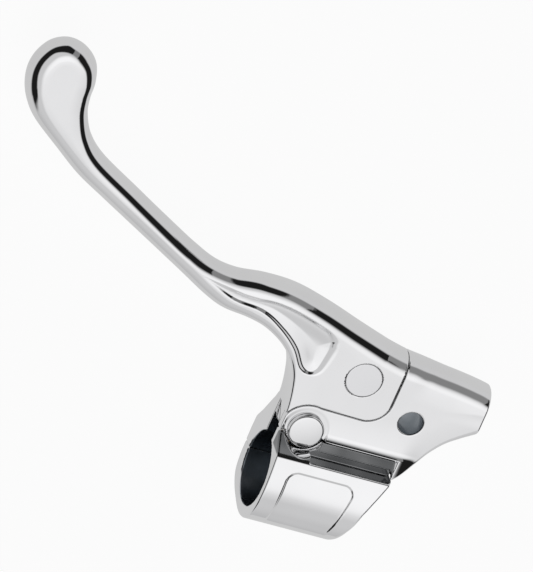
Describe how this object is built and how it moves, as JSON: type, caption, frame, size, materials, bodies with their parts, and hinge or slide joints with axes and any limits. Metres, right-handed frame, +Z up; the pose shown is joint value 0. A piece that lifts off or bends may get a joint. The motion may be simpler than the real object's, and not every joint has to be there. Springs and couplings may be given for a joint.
{
  "type": "clutch lever",
  "caption": "Motorcycle clutch lever on a split handlebar perch, with a domed pivot pin, a swivelling cable anchor, a cable nose and a mirror-stem hole.",
  "frame": {"origin": "on the clamp's outboard end face, in the middle of its rear wall, 14.4 mm behind the handlebar bore's axis", "axes": "+X inboard along the handlebar bore, +Y forward away from the rider, +Z up along the lever pivot"},
  "size_m": [0.1919, 0.1477, 0.0333],
  "materials": {
    "chrome_perch": "mirror polished",
    "chrome_lever": "mirror polished",
    "chrome_cap": "mirror polished",
    "chrome_pin": "mirror polished",
    "anchor_steel": "polished",
    "screw_steel": "turned",
    "washer_zinc": "zinc plated",
    "clip_steel": "phosphated",
    "spring_steel": "tempered",
    "seat_brass": "turned",
    "bronze": "sintered",
    "bush_polymer": "moulded"
  },
  "bodies": {
    "perch": {"perch_body": "chrome_perch", "clamp_cap": "chrome_cap", "clamp_screw_outboard": "screw_steel", "clamp_screw_inboard": "screw_steel", "clamp_washer_outboard": "washer_zinc", "clamp_washer_inboard": "washer_zinc", "pivot_pin": "chrome_pin", "pivot_clip": "clip_steel", "pivot_wave_washer": "spring_steel", "cable_seat": "seat_brass"},
    "lever": {"lever": "chrome_lever", "pivot_bush_top": "bronze", "pivot_bush_bottom": "bronze", "anchor_bush_top": "bush_polymer", "anchor_bush_bottom": "bush_polymer"},
    "cable_anchor": {"cable_anchor_pin": "anchor_steel", "anchor_clip": "clip_steel"}
  },
  "joints": [
    {"name": "lever_pivot", "type": "hinge", "parent": "perch", "child": "lever", "pos_m": [0.0084, 0.0351, -0.0016], "axis": [0, 0, 1], "range_deg": [0, 27]},
    {"name": "anchor_swivel", "type": "hinge", "parent": "lever", "child": "cable_anchor", "pos_m": [0.02, 0.0578, -0.0016], "axis": [0, 0, 1], "range_deg": [-27.5, 0.5]}
  ],
  "couplings": [
    {"joint": "anchor_swivel", "follows": "lever_pivot", "ratio": -1}
  ]
}
